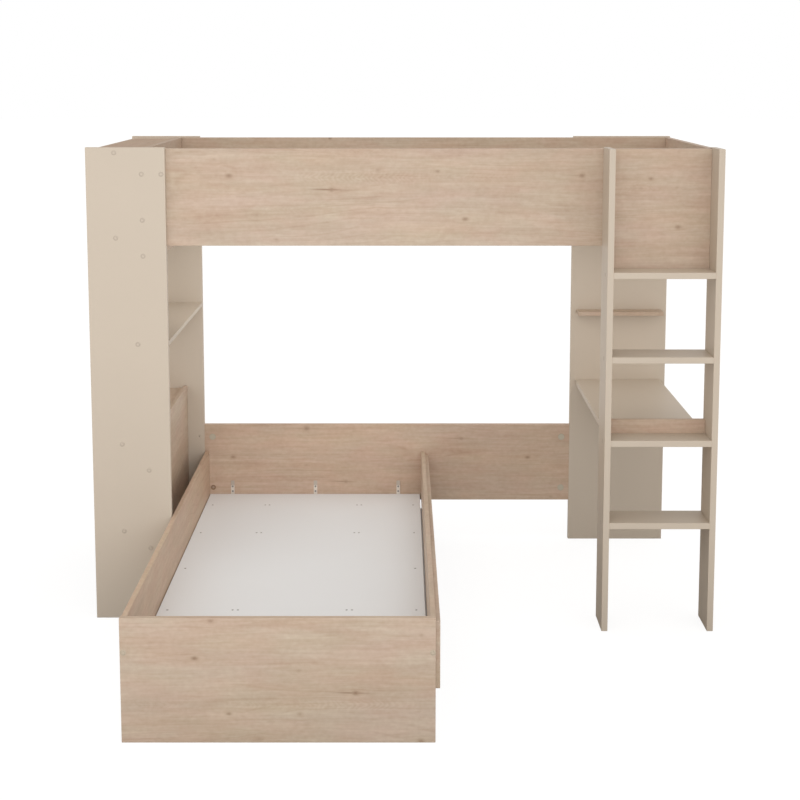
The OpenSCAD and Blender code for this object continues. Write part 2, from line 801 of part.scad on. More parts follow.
module cam_bolts() {
  zinc() for (j = cam_joints) for (z = cam_z)
    translate([j[0], y_rear - cam_axis, z]) rotate([0, j[1] * 90, 0])
      translate([0, 0, -bolt_in_panel])
        cylinder(d = screw_d, h = bolt_in_panel + cam_setback - bolt_tip_gap);
}

module cam_locks() {
  zinc() for (j = cam_joints) for (z = cam_z) difference() {
    rod([j[0] + j[1] * cam_setback, y_back + cam_sink, z], to_back, cam_d, cam_h);
    bolt_bore(j);
    translate([j[0] + j[1] * cam_setback, y_back, z]) {
      cube([cam_slot_length, 2 * cam_slot_depth, cam_slot_width], center = true);
      cube([cam_slot_width, 2 * cam_slot_depth, cam_slot_length], center = true);
    }
  }
}

module cam_covers() {
  beige() for (c = covered_cams)
    rod([c[0][0] + c[0][1] * cam_setback, y_back, c[1]], to_front, cam_cover_d, cap_h);
}

// One bracket against a wall plane at y, its foot pointing along side = +1 or -1 in Y
module bracket(x, y, side) {
  x0 = x - bracket_width / 2;
  x1 = x + bracket_width / 2;
  near = y + side * bracket_thick;
  far = y + side * (bracket_foot + bracket_thick);
  box([x0, x1], [min(y, near), max(y, near)],
    [z_low_base - bracket_thick, low_base_top + bracket_rise]);
  box([x0, x1], [min(y, far), max(y, far)], [z_low_base - bracket_thick, z_low_base]);
}

module bracket_screw_bores() {
  for (x = bracket_x) for (w = bracket_walls) {
    for (z = bracket_hole_z) translate([x, w[0] + w[1] * bracket_thick, z])
      rotate(w[1] > 0 ? to_front : to_back)
        cylinder(d = wood_screw_d + bore_play, h = bracket_screw_h + end_play);
    rod([x, w[0] + w[1] * bracket_foot_hole, z_low_base - bracket_thick], to_top,
      wood_screw_d + bore_play, bracket_screw_h + end_play);
  }
}

module base_brackets() {
  zinc() for (x = bracket_x) for (w = bracket_walls) difference() {
    bracket(x, w[0], w[1]);
    bracket_screw_bores();
  }
}

module bracket_screw(at, aim) {
  translate(at) rotate(aim) {
    translate([0, 0, -bracket_head_h]) cylinder(d = wood_screw_head_d, h = bracket_head_h);
    cylinder(d = wood_screw_d, h = bracket_screw_h);
  }
}

module bracket_screws() {
  zinc() for (x = bracket_x) for (w = bracket_walls) {
    for (z = bracket_hole_z)
      bracket_screw([x, w[0] + w[1] * bracket_thick, z], w[1] > 0 ? to_front : to_back);
    bracket_screw([x, w[0] + w[1] * bracket_foot_hole, z_low_base - bracket_thick], to_top);
  }
}

module wood_screws() {
  zinc() for (s = concat(low_base_spots, ledge_spots, batten_spots, upper_base_spots))
    wood_screw(s[0], s[1], wood_screw_length);
}

module side_board_screws() {
  zinc() for (s = side_spots) wood_screw(s[0], s[1], side_screw_length);
}

left_front_panel();
left_back_panel();
unit_top_board();
unit_upper_shelf();
unit_bedside_shelf();
unit_cupboard_top();
unit_lower_shelf();
unit_cupboard_side();
upper_front_board();
upper_back_board();
upper_end_left();
upper_end_right();
upper_batten_front();
upper_batten_back();
upper_beam(0);  // upper_beam_1
upper_beam(1);  // upper_beam_2
upper_beam(2);  // upper_beam_3
upper_base_left();
upper_base_right();
ladder_stile_left();
ladder_stile_right();
ladder_guard_board();
ladder_step(0);  // ladder_step_1
ladder_step(1);  // ladder_step_2
ladder_step(2);  // ladder_step_3
ladder_step(3);  // ladder_step_4
desk_back_panel();
desktop();
desk_lip();
desk_wall_shelf();
low_front_board();
low_back_board();
low_rail_left();
low_rail_right();
low_side_board();
low_base();
low_ledge_left();
low_ledge_right();
low_support(0);  // low_support_1
low_support(1);  // low_support_2
low_support(2);  // low_support_3
low_support(3);  // low_support_4
low_support(4);  // low_support_5
connecting_screws();
short_screws();
screw_caps_beige();
screw_caps_wood();
wood_dowels();
cam_locks();
cam_bolts();
cam_covers();
base_brackets();
bracket_screws();
wood_screws();
side_board_screws();
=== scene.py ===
import bpy
import numpy as np
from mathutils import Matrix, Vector


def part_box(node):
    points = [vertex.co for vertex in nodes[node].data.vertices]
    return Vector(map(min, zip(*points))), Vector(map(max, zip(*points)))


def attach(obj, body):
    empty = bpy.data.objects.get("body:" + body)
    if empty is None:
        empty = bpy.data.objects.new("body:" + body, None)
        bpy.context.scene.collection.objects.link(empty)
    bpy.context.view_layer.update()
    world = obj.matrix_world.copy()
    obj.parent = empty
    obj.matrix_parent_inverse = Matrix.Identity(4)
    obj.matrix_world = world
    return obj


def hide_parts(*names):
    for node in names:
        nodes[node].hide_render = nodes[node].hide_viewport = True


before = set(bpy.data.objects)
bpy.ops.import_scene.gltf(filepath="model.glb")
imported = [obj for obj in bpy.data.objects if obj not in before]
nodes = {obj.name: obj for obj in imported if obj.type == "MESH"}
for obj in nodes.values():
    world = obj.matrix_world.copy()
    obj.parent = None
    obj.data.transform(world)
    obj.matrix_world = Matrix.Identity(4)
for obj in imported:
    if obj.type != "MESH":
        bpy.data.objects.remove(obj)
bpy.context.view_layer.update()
print("frame loaded:", len(nodes), "nodes")

# Small helpers that build shader nodes. A value is a socket of another node, or a plain number.


def addNode(tree, kind, **settings):
    node = tree.nodes.new(kind)
    for key, value in settings.items():
        setattr(node, key, value)
    return node


def feed(tree, socket, value):
    # a socket is linked to another one, or keeps a plain value
    if isinstance(value, bpy.types.NodeSocket):
        tree.links.new(value, socket)
    elif value is not None:
        socket.default_value = value


def calc(tree, operation, *values):
    node = addNode(tree, "ShaderNodeMath", operation=operation)
    for socket, value in zip(node.inputs, values):
        feed(tree, socket, value)
    return node.outputs[0]


def plus(tree, a, b):
    return calc(tree, "ADD", a, b)


def minus(tree, a, b):
    return calc(tree, "SUBTRACT", a, b)


def times(tree, a, b):
    return calc(tree, "MULTIPLY", a, b)


def timesPlus(tree, a, b, c):
    # a x b + c
    return calc(tree, "MULTIPLY_ADD", a, b, c)


def larger(tree, a, b):
    return calc(tree, "MAXIMUM", a, b)


def squared(tree, value):
    return times(tree, value, value)


def fade(tree, value, rate=1.0):
    # e to the power of -rate x value: 1 at 0, then less and less
    return calc(tree, "EXPONENT", times(tree, value, -rate))


def factor(tree, value, amount, middle=0.5):
    # a multiplier round 1: 1 + (value - middle) x amount
    return timesPlus(tree, minus(tree, value, middle), amount, 1.0)


def vectorCalc(tree, operation, a, b=None):
    node = addNode(tree, "ShaderNodeVectorMath", operation=operation)
    feed(tree, node.inputs[0], a)
    feed(tree, node.inputs[1], b)
    return node.outputs["Value" if operation in ("LENGTH", "DOT_PRODUCT") else "Vector"]


def scaled(tree, colour, by):
    # a colour made lighter or darker by one number
    node = addNode(tree, "ShaderNodeVectorMath", operation="SCALE")
    feed(tree, node.inputs[0], colour)
    feed(tree, node.inputs["Scale"], by)
    return node.outputs["Vector"]


def split(tree, vector):
    node = addNode(tree, "ShaderNodeSeparateXYZ")
    feed(tree, node.inputs[0], vector)
    return node.outputs[0], node.outputs[1], node.outputs[2]


def join(tree, x, y, z):
    node = addNode(tree, "ShaderNodeCombineXYZ")
    for socket, value in zip(node.inputs, (x, y, z)):
        feed(tree, socket, value)
    return node.outputs[0]


def noise(tree, vector, scale, detail=2.0, rough=0.5, bend=0.0):
    # soft noise from 0 to 1, mostly near 0.5; scale is its waves per metre along each axis
    node = addNode(tree, "ShaderNodeTexNoise", noise_dimensions="3D")
    feed(tree, node.inputs["Vector"], vectorCalc(tree, "MULTIPLY", vector, scale))
    for name, value in (("Scale", 1.0), ("Detail", detail), ("Roughness", rough), ("Distortion", bend)):
        node.inputs[name].default_value = value
    return node.outputs[0]


def ramp(tree, value, low, high, toLow=0.0, toHigh=1.0):
    # smooth step from low to high
    node = addNode(tree, "ShaderNodeMapRange", interpolation_type="SMOOTHSTEP")
    for name, number in (("Value", value), ("From Min", low), ("From Max", high),
                         ("To Min", toLow), ("To Max", toHigh)):
        feed(tree, node.inputs[name], number)
    return node.outputs["Result"]


def blendColour(tree, share, a, b):
    node = addNode(tree, "ShaderNodeMix", data_type="RGBA")
    colourA, colourB, mixed = 6, 7, 2   # the colour sockets come after the number and vector ones
    feed(tree, node.inputs["Factor"], share)
    feed(tree, node.inputs[colourA], a)
    feed(tree, node.inputs[colourB], b)
    return node.outputs[mixed]


def mixShader(tree, share, a, b):
    node = addNode(tree, "ShaderNodeMixShader")
    for socket, value in zip(node.inputs, (share, a, b)):
        feed(tree, socket, value)
    return node.outputs[0]


def rgb(colour):
    return (*colour, 1.0)


def newGroup(name, inputs, outputs):
    # a shader node group; returns its tree, its inputs by name, and a function that feeds its outputs
    tree = bpy.data.node_groups.new(name, "ShaderNodeTree")
    kinds = {"value": "NodeSocketFloat", "vector": "NodeSocketVector"}
    for way, sockets in (("INPUT", inputs), ("OUTPUT", outputs)):
        for kind, names in sockets.items():
            for socketName in names:
                tree.interface.new_socket(name=socketName, in_out=way, socket_type=kinds[kind])
    entry = tree.nodes.new("NodeGroupInput")
    leave = tree.nodes.new("NodeGroupOutput")

    def give(**values):
        for key, value in values.items():
            feed(tree, leave.inputs[key], value)
    return tree, entry.outputs, give


def useGroup(tree, group, **values):
    node = addNode(tree, "ShaderNodeGroup", node_tree=group)
    for key, value in values.items():
        feed(tree, node.inputs[key], value)
    return node.outputs


# Effects that several materials share, each built once as a node group

edgeHighlightBand = {"full": 0.0003, "gone": 0.0021}     # distances from an edge where its light band fades: a painted highlight along the edges, with a little edge wear


def makeEdgeGroup():
    # a band along the edges of an upright box, where the materials paint a highlight (with a little
    # edge wear), from the distance to the nearest edge: the second smallest of the three distances to
    # its faces, so it is 0 on an edge and grows across each face
    tree, get, give = newGroup("edgeDistance", {"vector": ["Place", "Low", "High"]},
                               {"value": ["Band"]})
    low = vectorCalc(tree, "SUBTRACT", get["Place"], get["Low"])
    high = vectorCalc(tree, "SUBTRACT", get["High"], get["Place"])
    x, y, z = split(tree, vectorCalc(tree, "ABSOLUTE", vectorCalc(tree, "MINIMUM", low, high)))
    smallXy, bigXy = calc(tree, "MINIMUM", x, y), larger(tree, x, y)
    second = larger(tree, smallXy, calc(tree, "MINIMUM", bigXy, z))
    give(Band=ramp(tree, second, edgeHighlightBand["full"], edgeHighlightBand["gone"], 1.0, 0.0))
    return tree


knot = {
    "flatter": 0.62,                        # a knot is longer along the grain than across it
    "core": 0.9, "halo": 0.36,              # how fast the core and the halo fade outwards
    "reach": (0.16, 0.34), "push": 0.62,    # how soon the bend in the grain ends, and how strong it is
    "ragged": 0.7, "raggedScale": (240.0, 400.0, 240.0),    # uneven outline
    "thin": 5.0, "slope": 0.025,            # the streak through a knot: how thin, and its slope
    "streakMiddle": 2.5, "streakEnds": 0.12,
}


def knotFields(tree, du, dv, ragged):
    # du and dv are distances from a knot's middle in knot sizes, along and across the grain; core
    # and ring are bell curves of the distance, and push says how far the grain gives way
    near = plus(tree, calc(tree, "SQRT", plus(
        tree, squared(tree, times(tree, du, knot["flatter"])), squared(tree, dv))), ragged)
    core = fade(tree, squared(tree, near), knot["core"])
    ring = fade(tree, squared(tree, times(tree, near, knot["halo"])))
    far = plus(tree, squared(tree, times(tree, du, knot["reach"][0])),
               squared(tree, times(tree, dv, knot["reach"][1])))
    return core, ring, times(tree, fade(tree, far), knot["push"])


def makeKnotGroup():
    # one knot: the grain is pushed round it, its core fades outwards, and a thin streak runs
    # along the grain through it
    tree, get, give = newGroup("boardKnot", {
        "vector": ["Place"], "value": ["Along", "Across", "Size", "Strength", "Streak"]},
        {"vector": ["Place"], "value": ["Core", "Ring"]})
    u, v, w = split(tree, get["Place"])
    du = calc(tree, "DIVIDE", minus(tree, u, get["Along"]), get["Size"])
    dv = calc(tree, "DIVIDE", minus(tree, v, get["Across"]), get["Size"])
    ragged = timesPlus(tree, noise(tree, get["Place"], knot["raggedScale"]), knot["ragged"],
                       -knot["ragged"] / 2)
    core, ring, push = knotFields(tree, du, dv, ragged)
    bent = join(tree, u, minus(tree, v, times(tree, times(tree, dv, get["Size"]), push)), w)
    thin = fade(tree, squared(tree, plus(tree, dv, times(tree, du, knot["slope"]))), knot["thin"])
    fromMiddle = plus(tree, du, knot["streakMiddle"])
    length = fade(tree, squared(tree, times(tree, fromMiddle, knot["streakEnds"])))
    streak = times(tree, times(tree, thin, length), get["Streak"])
    give(Place=bent, Core=larger(tree, times(tree, core, get["Strength"]), streak),
         Ring=times(tree, ring, get["Strength"]))
    return tree


scatter = {
    "perMetre": (2.6, 7.4), "seedStep": 1.7, "uneven": 0.9,     # cells along and across the grain
    "size": 0.004, "moreSize": 0.004, "dark": 0.3, "moreDark": 0.6,
}


def makeScatterGroup():
    # knots in some of the cells of a stretched cell pattern; a cell's random colour says
    # whether it has one, how large it is and how dark
    tree, get, give = newGroup("scatteredKnots", {"vector": ["Place"], "value": ["Share", "Seed"]},
                               {"vector": ["Place"], "value": ["Core", "Ring"]})
    alongScale, acrossScale = scatter["perMetre"]
    u, v, w = split(tree, get["Place"])
    su = timesPlus(tree, u, alongScale, get["Seed"])
    sv = timesPlus(tree, v, acrossScale, times(tree, get["Seed"], scatter["seedStep"]))
    cell = addNode(tree, "ShaderNodeTexVoronoi", voronoi_dimensions="2D", feature="F1")
    feed(tree, cell.inputs["Vector"], join(tree, su, sv, 0.0))
    cell.inputs["Scale"].default_value = 1.0
    cell.inputs["Randomness"].default_value = scatter["uneven"]
    cu, cv, _ = split(tree, cell.outputs["Position"])
    has, big, dark = split(tree, cell.outputs["Color"])
    there = times(tree, calc(tree, "LESS_THAN", has, get["Share"]),
                  timesPlus(tree, dark, scatter["moreDark"], scatter["dark"]))
    size = timesPlus(tree, big, scatter["moreSize"], scatter["size"])
    gap = calc(tree, "DIVIDE", minus(tree, sv, cv), acrossScale)
    du = calc(tree, "DIVIDE", calc(tree, "DIVIDE", minus(tree, su, cu), alongScale), size)
    core, ring, push = knotFields(tree, du, calc(tree, "DIVIDE", gap, size), 0.0)
    bent = join(tree, u, minus(tree, v, times(tree, gap, times(tree, push, there))), w)
    give(Place=bent, Core=times(tree, core, there), Ring=times(tree, ring, there))
    return tree


def makeScaleGroup():
    # where a printed board shows scaly figure: a soft-edged patch, 1 in its middle, whose waves
    # lag behind towards its long sides
    tree, get, give = newGroup("scalyPatch", {
        "vector": ["Place"], "value": ["Along", "Across", "Length", "Height"]},
        {"value": ["Patch", "Bow"]})
    u, v, w = split(tree, get["Place"])
    du = calc(tree, "DIVIDE", minus(tree, u, get["Along"]), get["Length"])
    dv = calc(tree, "DIVIDE", minus(tree, v, get["Across"]), get["Height"])
    patch = fade(tree, plus(tree, squared(tree, squared(tree, du)), squared(tree, dv)))
    give(Patch=patch, Bow=times(tree, squared(tree, dv), patch))
    return tree


# The layers of the printed wood's figure: waves per metre along the grain, across it and through
# the board, and the amount of finer detail
figure = {
    "band": ((0.9, 9.0, 5.0), 1.0), "patch": ((4.4, 17.0, 8.0), 2.0), "hue": ((6.0, 18.0, 7.0), 2.0),
    "cool": ((2.2, 11.0, 6.0), 2.0), "line": ((3.2, 115.0, 50.0), 3.0),
    "fleck": ((14.0, 85.0, 50.0), 2.0), "curl": ((56.0, 72.0, 50.0), 1.0),
    "streak": ((1.6, 34.0, 15.0), 2.0),
    "pore": ((26.0, 900.0, 900.0), 1.0), "bow": ((0.9, 5.0, 3.0), 1.0),
    "field": ((1.2, 8.0, 4.0), 0.5), "shown": ((1.9, 14.0, 6.0), 1.0), "lag": ((20.0, 44.0, 20.0), 1.5),
}
rings = {"perMetre": 30.0, "wander": 8.0, "thin": 0.70, "shown": (0.44, 0.62), "bow": 0.06}
scales = {"perMetre": 350.0, "bow": 14.0, "uneven": 16.0}       # waves in radians per metre
poreShown = (0.60, 0.74)
seedSteps = {"grain": (3.71, 1.93, 0.57), "skin": (1.0, 2.3, 0.7)}


def seedShift(tree, seed, steps):
    return join(tree, *(times(tree, seed, step) for step in steps))


def makeGrainGroup():
    # printed wood: u runs along the grain, v across it. Bands, streaks, lines and short flecks are
    # noise drawn out along u, curl is almost even noise, dark ring lines are the even contours of a
    # slow field, and scales are waves along u inside the patches that Scaly marks
    tree, get, give = newGroup("woodGrain", {"vector": ["Place"], "value": ["Seed", "Scaly", "Bow"]}, {
        "value": ["Band", "Patch", "Hue", "Line", "Fleck", "Streak", "Ring", "Scales", "Pore", "Cool",
                  "Curl"]})
    place = vectorCalc(tree, "ADD", get["Place"], seedShift(tree, get["Seed"], seedSteps["grain"]))

    def layer(name, source=place, **options):
        scale, detail = figure[name]
        return noise(tree, source, scale, detail, **options)

    u, v, w = split(tree, place)
    bentV = timesPlus(tree, minus(tree, layer("bow"), 0.5), rings["bow"], v)
    along = join(tree, u, bentV, w)
    field = timesPlus(tree, layer("field"), rings["wander"], times(tree, bentV, rings["perMetre"]))
    contour = times(tree, calc(tree, "ABSOLUTE", minus(tree, calc(tree, "FRACT", field), 0.5)), 2.0)
    ring = times(tree, ramp(tree, contour, rings["thin"], 1.0),
                 ramp(tree, layer("shown"), *rings["shown"]))
    lag = timesPlus(tree, get["Bow"], scales["bow"], times(tree, layer("lag"), scales["uneven"]))
    waves = calc(tree, "SINE", timesPlus(tree, u, scales["perMetre"], lag))
    give(Band=layer("band", along), Patch=layer("patch"), Hue=layer("hue", bend=0.1),
         Cool=layer("cool"), Line=layer("line", along, rough=0.6), Fleck=layer("fleck"),
         Curl=layer("curl"), Streak=layer("streak", along), Ring=ring,
         Scales=times(tree, waves, get["Scaly"]), Pore=ramp(tree, layer("pore", along), *poreShown))
    return tree


# The coated boards' skin: waves per metre of its layers, and the finest one's share of the bump
skin = {"tone": 2.4, "speckle": 330.0, "fine": 900.0, "coarse": 160.0, "fineShare": 0.65}


def makeSkinGroup():
    # coated board: broad soft tone, fine speckle and the tiny uneven skin that a press plate leaves
    tree, get, give = newGroup("coatedSkin", {"vector": ["Place"], "value": ["Seed"]},
                               {"value": ["Tone", "Speckle", "Skin"]})
    place = vectorCalc(tree, "ADD", get["Place"], seedShift(tree, get["Seed"], seedSteps["skin"]))

    def layer(name, **options):
        return noise(tree, place, (skin[name],) * 3, **options)

    give(Tone=layer("tone"), Speckle=layer("speckle", rough=0.7),
         Skin=plus(tree, times(tree, layer("fine", detail=1.0), skin["fineShare"]),
                   times(tree, layer("coarse", detail=1.0), 1.0 - skin["fineShare"])))
    return tree


edgeDistance = makeEdgeGroup()
boardKnot = makeKnotGroup()
scatteredKnots = makeScatterGroup()
scalyPatch = makeScaleGroup()
woodGrain = makeGrainGroup()
coatedSkin = makeSkinGroup()
print("shared effects built")

# Materials. The numbers beside the colours say how strongly each layer changes the colour.

# edge: how much the band along the edges lightens the colour, a painted highlight with a little edge
# wear
printedWood = {
    "pink": (0.536, 0.399, 0.3040),     # colours of the soft patches
    "straw": (0.521, 0.411, 0.3105),
    "core": (0.231, 0.134, 0.074),      # middle of a knot
    "halo": (0.560, 0.420, 0.305),      # round a knot
    "band": 0.16, "patch": 0.20, "line": 0.27, "fleck": 0.23, "curl": 0.21, "streak": 0.24,
    "ring": 0.080, "scales": 0.045, "pore": 0.05, "edge": 0.05, "cool": 0.14,
    "roughness": 0.50, "bump": 0.00010,
}
rawPine = {
    "pink": (0.64, 0.47, 0.29), "straw": (0.69, 0.54, 0.34), "core": (0.26, 0.13, 0.06),
    "halo": (0.58, 0.38, 0.20),
    "band": 0.20, "patch": 0.20, "line": 0.30, "fleck": 0.15, "curl": 0.10, "streak": 0.30,
    "ring": 0.22, "scales": 0.0, "pore": 0.12, "edge": 0.03, "cool": 0.10,
    "roughness": 0.66, "bump": 0.0003,
}
coatedBeige = {"colour": (0.580, 0.499, 0.407), "tone": 0.05, "speckle": 0.035, "edge": 0.05,
               "roughness": 0.46, "gloss": 0.08, "bump": 0.00004}
coatedWhite = {"colour": (0.862, 0.880, 0.898), "tone": 0.03, "speckle": 0.03, "edge": 0.04,
               "roughness": 0.50, "gloss": 0.08, "bump": 0.00006}
woodMix = {
    "hue": (0.30, 0.70), "halo": 0.30, "core": 0.80,    # where pink turns to straw; shares of the knots
    "channels": (0.75, 1.05, 1.25),     # dark parts are more saturated, so red follows less, blue more
    "gloss": 0.10, "streakHeight": 0.3, "poreDepth": 0.6,
}
boardSpecular = 0.35


def startMaterial(name):
    material = bpy.data.materials.new(name)
    material.use_nodes = True
    tree = material.node_tree
    shader = next(n for n in tree.nodes if n.type == "BSDF_PRINCIPLED")
    place = addNode(tree, "ShaderNodeTexCoord").outputs["Object"]
    return material, tree, shader, place


def finishMaterial(tree, shader, colour, roughness, height, depth):
    # height is in heights of 1, and depth turns it into metres
    feed(tree, shader.inputs["Base Color"], colour)
    feed(tree, shader.inputs["Roughness"], roughness)
    bump = addNode(tree, "ShaderNodeBump")
    bump.inputs["Strength"].default_value = 1.0
    bump.inputs["Distance"].default_value = depth
    feed(tree, bump.inputs["Height"], height)
    feed(tree, shader.inputs["Normal"], bump.outputs["Normal"])


def spread(tree, middle, value, width):
    # a number round its middle: middle - width / 2 + value x width
    return plus(tree, middle - width / 2, times(tree, value, width))


def woodMaterial(name, look, seed, corners, board):
    # board["order"] gives the letters of the board's own axes: along the grain, across it, through it
    material, tree, shader, place = startMaterial(name)
    axes = dict(zip("XYZ", split(tree, place)))
    grainPlace = join(tree, *(axes[letter] for letter in board["order"]))
    scaly, bow = 0.0, 0.0
    for along, across, length, height, strength in board.get("scaly", ()):
        got = useGroup(tree, scalyPatch, Place=grainPlace, Along=along, Across=across,
                       Length=length, Height=height)
        scaly = timesPlus(tree, got["Patch"], strength, scaly)
        bow = timesPlus(tree, got["Bow"], board.get("bowed", 1.0), bow)

    knots = [(boardKnot, dict(zip(("Along", "Across", "Size", "Strength", "Streak"), values)))
             for values in board.get("knots", ())]
    if board.get("share", 0.0) > 0:
        knots.append((scatteredKnots, {"Share": board["share"], "Seed": seed}))
    core, halo = 0.0, 0.0
    for group, values in knots:
        got = useGroup(tree, group, Place=grainPlace, **values)
        grainPlace = got["Place"]
        core, halo = larger(tree, core, got["Core"]), larger(tree, halo, got["Ring"])

    grain = useGroup(tree, woodGrain, Place=grainPlace, Seed=seed, Scaly=scaly, Bow=bow)
    edge = useGroup(tree, edgeDistance, Place=place, Low=corners[0], High=corners[1])
    # the shading tint scales this board's decor colours: painted light and shade
    shadingTint = board.get("shadingTint", (1.0, 1.0, 1.0))
    pink, straw = (rgb(c * t for c, t in zip(look[key], shadingTint)) for key in ("pink", "straw"))
    colour = blendColour(tree, ramp(tree, grain["Hue"], *woodMix["hue"]), pink, straw)
    colour = blendColour(tree, times(tree, halo, woodMix["halo"]), colour, rgb(look["halo"]))
    by = 1.0
    for field, amount, middle in (("Band", look["band"], 0.5), ("Patch", look["patch"], 0.5),
                                  ("Line", look["line"], 0.5), ("Fleck", look["fleck"], 0.5),
                                  ("Curl", look["curl"], 0.5),
                                  ("Streak", look["streak"] * board.get("streaky", 1.0), 0.5),
                                  ("Ring", -look["ring"], 0.0), ("Scales", look["scales"], 0.0),
                                  ("Pore", -look["pore"], 0.0)):
        by = times(tree, by, factor(tree, grain[field], amount, middle))
    # the edge band lightens the colour: painted highlight along the edges, with a little edge wear
    by = times(tree, by, factor(tree, edge["Band"], look["edge"], 0.0))
    change = minus(tree, by, 1.0)
    red, green, blue = (timesPlus(tree, change, share, 1.0) for share in woodMix["channels"])
    channels = join(tree, red, green, times(tree, blue, factor(tree, grain["Cool"], look["cool"])))
    colour = blendColour(tree, times(tree, core, woodMix["core"]),
                         vectorCalc(tree, "MULTIPLY", colour, channels), rgb(look["core"]))
    height = plus(tree, grain["Line"], times(tree, grain["Streak"], woodMix["streakHeight"]))
    height = minus(tree, height, times(tree, grain["Pore"], woodMix["poreDepth"]))
    rough = spread(tree, look["roughness"], grain["Line"], woodMix["gloss"])
    finishMaterial(tree, shader, colour, rough, height, look["bump"])
    shader.inputs["Specular IOR Level"].default_value = boardSpecular
    return material


def coatedMaterial(name, look, seed, corners):
    material, tree, shader, place = startMaterial(name)
    layers = useGroup(tree, coatedSkin, Place=place, Seed=seed)
    edge = useGroup(tree, edgeDistance, Place=place, Low=corners[0], High=corners[1])
    by = times(tree, factor(tree, layers["Tone"], look["tone"]),
               factor(tree, layers["Speckle"], look["speckle"]))
    # the edge band lightens the colour: painted highlight along the edges, with a little edge wear
    by = times(tree, by, factor(tree, edge["Band"], look["edge"], 0.0))
    rough = spread(tree, look["roughness"], layers["Tone"], look["gloss"])
    finishMaterial(tree, shader, scaled(tree, look["colour"], by), rough, layers["Skin"], look["bump"])
    shader.inputs["Specular IOR Level"].default_value = boardSpecular
    return material


# layers of the small fittings' surface in waves per metre, the finer detail of the first, and
# what they do to gloss and bump
fitting = {"fine": 700.0, "soft": 60.0, "detail": 3.0, "rough": 0.6, "gloss": 0.16, "bump": 0.00003}


def smallPartMaterial(name, colour, roughness, metallic=0.0, brushed=(1.0, 1.0, 1.0), contrast=0.12,
                      second=None, mask=None):
    # plastic or metal of a small fitting: speckle stretched by brushed, and a fine bump; mask is a
    # function of the tree and the place that tells where the second colour is
    material, tree, shader, place = startMaterial(name)
    if second:
        colour = blendColour(tree, mask(tree, place), rgb(colour), rgb(second))
    grain = noise(tree, place, tuple(fitting["fine"] * b for b in brushed), fitting["detail"],
                  fitting["rough"])
    soft = noise(tree, place, (fitting["soft"],) * 3)
    by = times(tree, factor(tree, grain, contrast), factor(tree, soft, contrast))
    rough = spread(tree, roughness, soft, fitting["gloss"])
    finishMaterial(tree, shader, scaled(tree, colour, by), rough, grain, fitting["bump"])
    shader.inputs["Metallic"].default_value = metallic
    return material


def dress(node, material):
    # the node keeps its mesh and gets the material in its own slots
    for slot in nodes[node].material_slots:
        slot.material = material


def boardCorners(node):
    low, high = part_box(node)
    return tuple(low), tuple(high)
